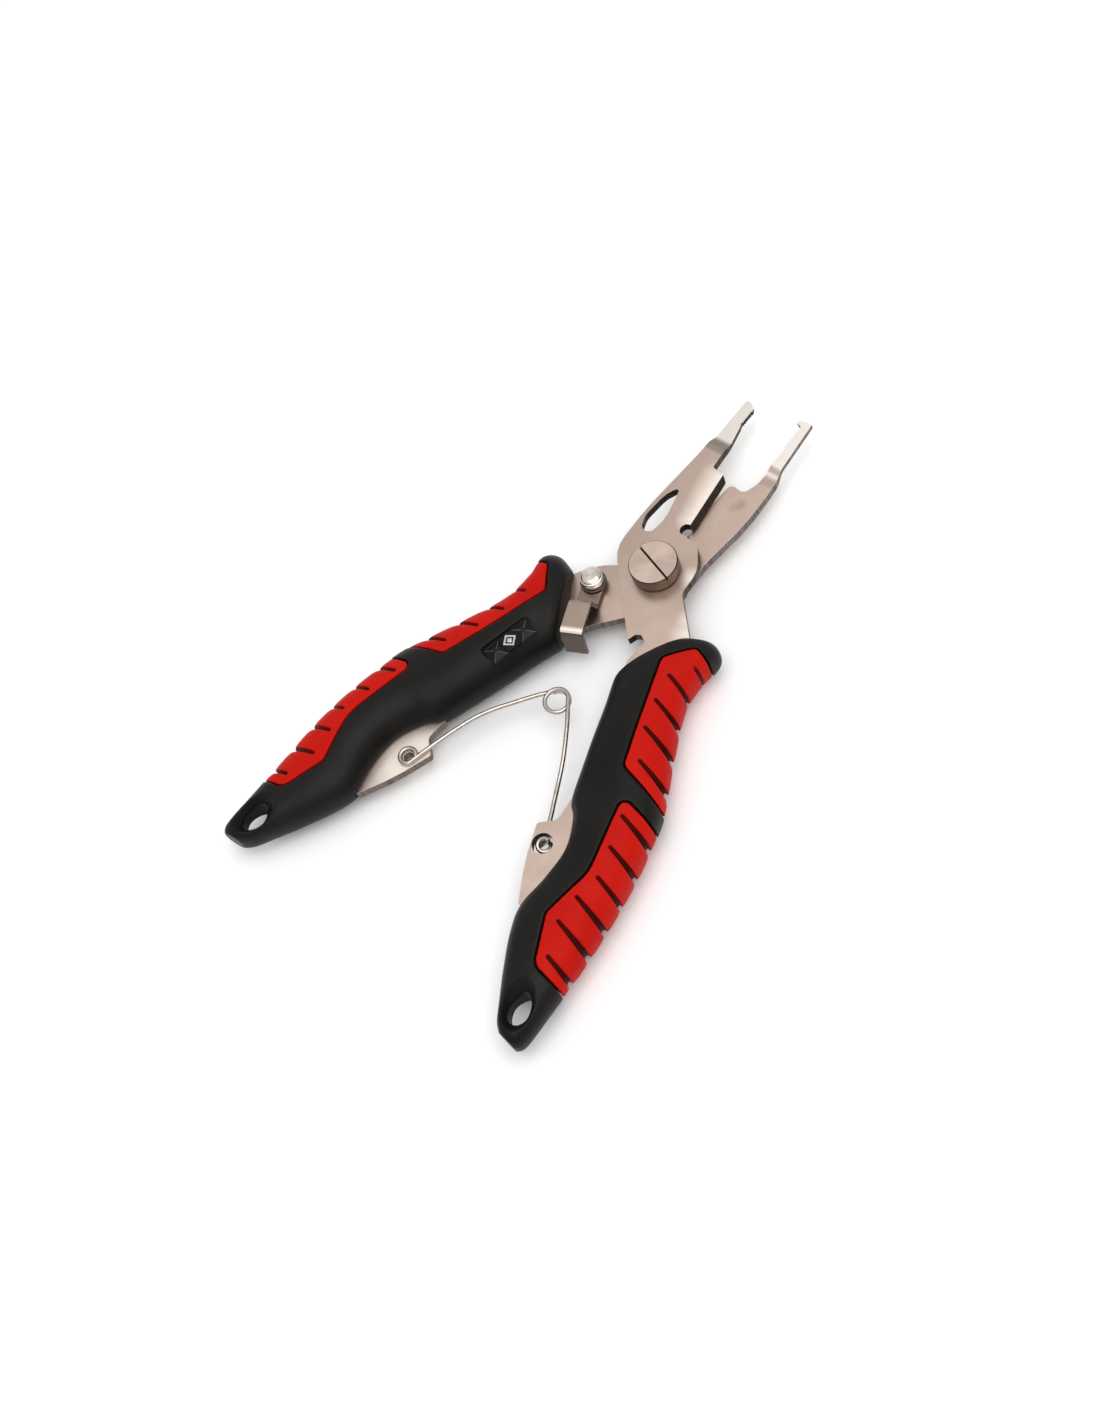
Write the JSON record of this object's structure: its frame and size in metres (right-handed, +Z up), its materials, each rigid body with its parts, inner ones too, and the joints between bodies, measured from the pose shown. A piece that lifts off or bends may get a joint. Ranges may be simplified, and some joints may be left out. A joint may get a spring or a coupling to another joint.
{
  "type": "fishing pliers",
  "caption": "Lapped-plate fishing pliers with split-ring tip, serrated needle jaws, line cutter, sprung handles with rubber grips, closing latch and lanyard holes.",
  "frame": {"origin": "on the pivot axis, in the plane the pliers rest on when laid flat", "axes": "+Y from the pivot to the jaw tips, +X towards the right handle, +Z up out of the front blade along the pivot axis"},
  "size_m": [0.09, 0.1535, 0.0138],
  "materials": {
    "stainless": "satin",
    "polished_steel": "polished",
    "spring_wire": "bright drawn",
    "black_handle": "satin moulded",
    "red_rubber": "satin",
    "gloss_black": "gloss",
    "silver": "polished"
  },
  "bodies": {
    "rear_half": {"rear_blade": "stainless", "left_handle_shell": "black_handle", "left_grip_front": "red_rubber", "left_grip_rear": "red_rubber", "badge_plate": "gloss_black", "badge_diamond": "silver", "pivot_screw": "stainless", "pivot_washer": "stainless", "pivot_nut": "stainless", "latch_screw": "polished_steel", "latch_washer": "stainless", "latch_nut": "stainless", "torsion_spring": "spring_wire"},
    "front_half": {"front_blade": "stainless", "right_handle_shell": "black_handle", "right_grip_front": "red_rubber", "right_grip_rear": "red_rubber"},
    "latch": {"latch_lever": "stainless"}
  },
  "joints": [
    {"name": "jaw_pivot", "type": "hinge", "parent": "rear_half", "child": "front_half", "pos_m": [0, 0, 0.0063], "axis": [0, 0, -1], "range_deg": [0, 14.8], "stiffness_Nm_per_rad": 0.8, "springref_deg": -11.46, "deforming": ["torsion_spring"]},
    {"name": "latch_pivot", "type": "hinge", "parent": "rear_half", "child": "latch", "pos_m": [-0.0115, -0.0092, 0.0069], "axis": [0, 0, 1], "range_deg": [0, 27]}
  ]
}
